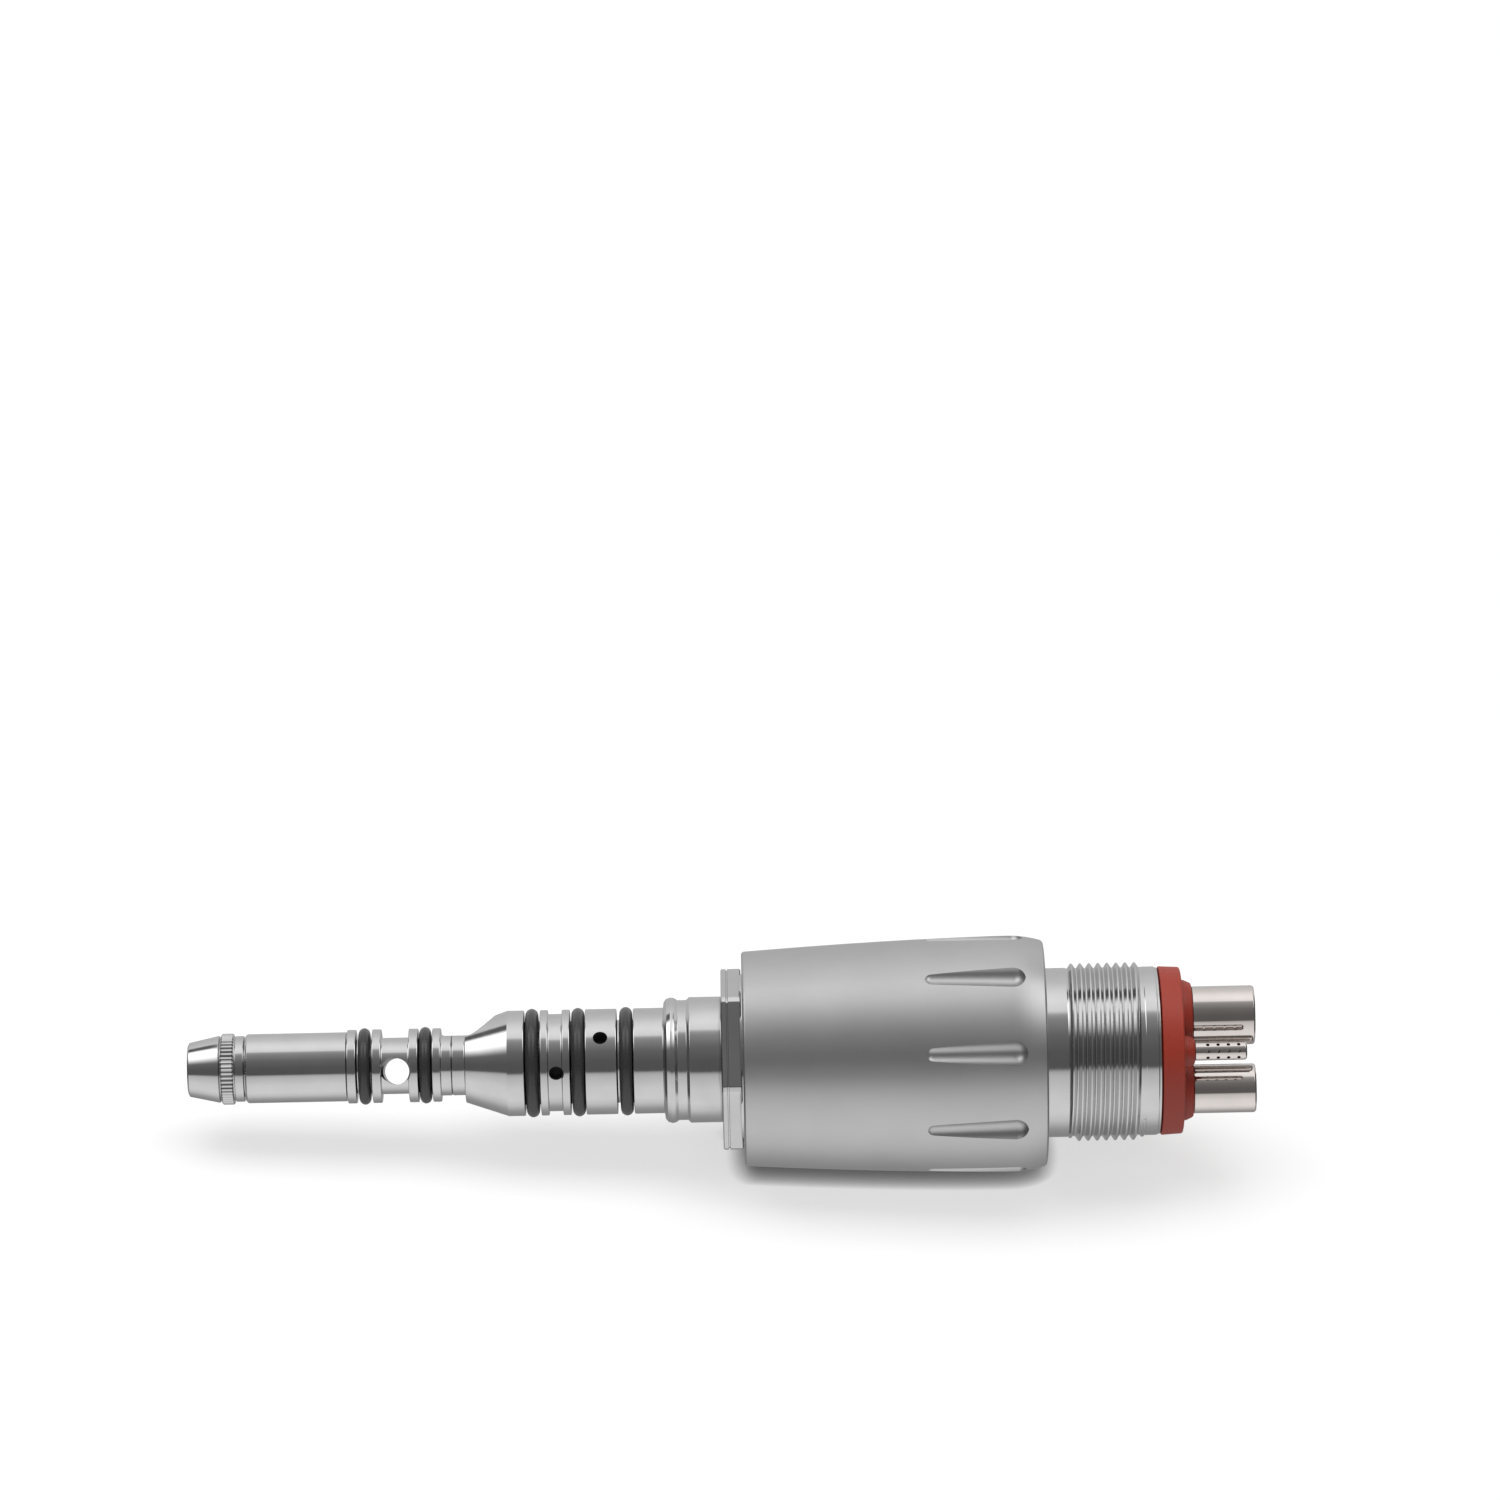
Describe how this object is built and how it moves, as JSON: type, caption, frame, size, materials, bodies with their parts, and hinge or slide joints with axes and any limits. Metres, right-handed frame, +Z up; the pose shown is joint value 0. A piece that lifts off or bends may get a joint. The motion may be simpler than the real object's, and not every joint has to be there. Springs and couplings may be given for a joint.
{
  "type": "dental handpiece coupler with lamp",
  "caption": "Round metal coupler for a dental handpiece: lamp tip, sealed spigot, wrench flange, fluted water ring and threaded hose end with air and water tubes.",
  "frame": {"origin": "on the coupler's axis, at the front face of the hexagonal wrench flange, where the handpiece stops", "axes": "+X along the axis from the lamp tip towards the hose tubes, +Z up as the coupler lies on a table"},
  "size_m": [0.0751, 0.0166, 0.0166],
  "materials": {
    "steel": "fine turned stainless steel",
    "nickel": "polished nickel plate",
    "ring": "satin bead-blasted metal",
    "seal_rubber": "matt black rubber",
    "gasket_rubber": "red-brown silicone rubber",
    "lens": "clear lamp dome",
    "lamp": "white ceramic",
    "insulator": "dark insulating plastic",
    "insulator_white": "white insulating plastic",
    "lead": "insulated wire",
    "brass": "bright contact metal",
    "board": "circuit board",
    "spring": "spring wire",
    "gasket_grey": "grey sealing sheet"
  },
  "bodies": {
    "coupler": {"lamp_lens": "lens", "lamp_body": "lamp", "lamp_pins": "brass", "lamp_socket": "insulator", "lamp_tube": "steel", "lamp_leads": "lead", "stem": "steel", "spigot_body": "steel", "spigot_gasket": "gasket_grey", "wrench_flange": "steel", "valve_body": "steel", "contact_board": "board", "ring_clip": "spring", "metering_spring": "spring", "passage_plug": "brass", "check_valve_seat": "brass", "check_valve_spring": "spring", "rear_connector": "steel", "tube_block": "steel", "dowel_pins": "spring", "exhaust_tube": "nickel", "drive_tube": "nickel", "water_tube": "nickel", "air_tube": "nickel", "hose_gasket": "gasket_rubber", "contact_pins": "brass", "contact_sleeves": "insulator_white", "stem_seal_1": "seal_rubber", "stem_seal_2": "seal_rubber", "spigot_seal_1": "seal_rubber", "spigot_seal_2": "seal_rubber", "spigot_seal_3": "seal_rubber", "ring_seal_1": "seal_rubber", "ring_seal_2": "seal_rubber", "ring_seal_3": "seal_rubber", "ring_seal_4": "seal_rubber"},
    "cap": {"lamp_cap": "steel"},
    "ring": {"regulator_ring": "ring"},
    "pin": {"metering_pin": "steel", "metering_seal": "seal_rubber"},
    "poppet": {"check_valve_poppet": "insulator"}
  },
  "joints": [
    {"name": "cap_pull", "type": "slide", "parent": "coupler", "child": "cap", "axis": [-1, 0, 0], "range_m": [0, 0.008]},
    {"name": "ring_turn", "type": "hinge", "parent": "coupler", "child": "ring", "pos_m": [0.012, 0, 0], "axis": [1, 0, 0], "range_deg": [-45, 45]},
    {"name": "pin_slide", "type": "slide", "parent": "coupler", "child": "pin", "axis": [0, -0.4555, 0.8902], "range_m": [-0.00025, 0.00025], "deforming": ["metering_spring"]},
    {"name": "poppet_slide", "type": "slide", "parent": "coupler", "child": "poppet", "axis": [-1, 0, 0], "range_m": [0, 0.0006], "stiffness_N_per_m": 60, "springref_m": -0.0003, "deforming": ["check_valve_spring"]}
  ],
  "couplings": [
    {"joint": "pin_slide", "follows": "ring_turn", "m_per_rad": -0.00031831}
  ]
}
